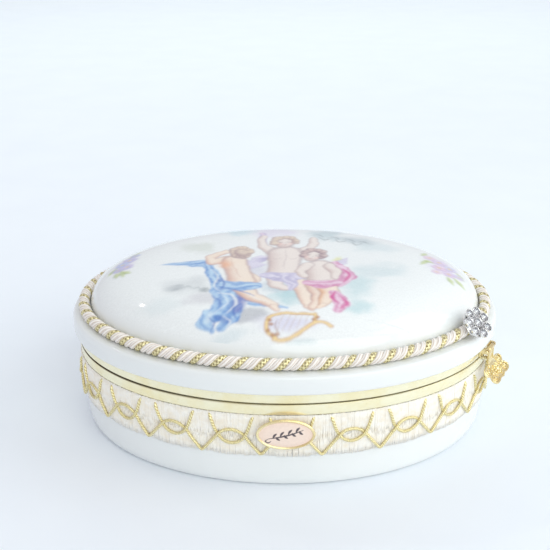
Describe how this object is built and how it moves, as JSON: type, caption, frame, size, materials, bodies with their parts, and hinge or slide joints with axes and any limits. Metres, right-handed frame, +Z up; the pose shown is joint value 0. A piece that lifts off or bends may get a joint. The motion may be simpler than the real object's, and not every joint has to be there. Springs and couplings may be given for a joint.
{
  "type": "porcelain trinket box",
  "caption": "Oval porcelain trinket box: domed hinged lid with painted scene, brass rim bands, rope and braid trims, oval plaque, rhinestone flower and flared clasp.",
  "frame": {"origin": "centre of the oval on the foot plane, which is the surface the box stands on", "axes": "+X along the long axis of the oval, -Y towards the front with the plaque, +Z up"},
  "size_m": [0.2103, 0.1565, 0.0782],
  "materials": {
    "porcelain": "gloss glaze",
    "plaque_glaze": "gloss glaze",
    "brass": "polished",
    "rope": "satin thread",
    "ribbon": "woven",
    "gold_cord": "metallic thread",
    "silver": "bright",
    "crystal": "clear, foiled back"
  },
  "bodies": {
    "base": {"bowl": "porcelain", "bowl_band": "brass", "hinge_leaf_bowl": "brass", "hinge_pin": "brass", "catch_stud": "brass", "braid_ribbon": "ribbon", "braid_cord_lower": "gold_cord", "braid_cord_upper": "gold_cord", "plaque": "plaque_glaze", "plaque_rim": "brass"},
    "cover": {"lid": "porcelain", "lid_band": "brass", "hinge_leaf_lid": "brass", "clasp_bracket": "brass", "clasp_pin": "brass", "rope_trim": "rope", "flower_plate": "silver", "stone_cup_1": "silver", "stone_cup_2": "silver", "stone_cup_3": "silver", "stone_cup_4": "silver", "stone_cup_5": "silver", "stone_cup_6": "silver", "stone_cup_7": "silver", "stone_cup_8": "silver", "rhinestone_1": "crystal", "rhinestone_2": "crystal", "rhinestone_3": "crystal", "rhinestone_4": "crystal", "rhinestone_5": "crystal", "rhinestone_6": "crystal", "rhinestone_7": "crystal", "rhinestone_8": "crystal"},
    "clasp": {"clasp_tongue": "brass"}
  },
  "joints": [
    {"name": "lid_hinge", "type": "hinge", "parent": "base", "child": "cover", "pos_m": [-0.09439, 0.029, 0.0429], "axis": [-0.4743, -0.8804, 0], "range_deg": [0, 95]},
    {"name": "clasp_swing", "type": "hinge", "parent": "cover", "child": "clasp", "pos_m": [0.09554, -0.02961, 0.0466], "axis": [-0.4743, -0.8804, 0], "range_deg": [0, 60]}
  ]
}
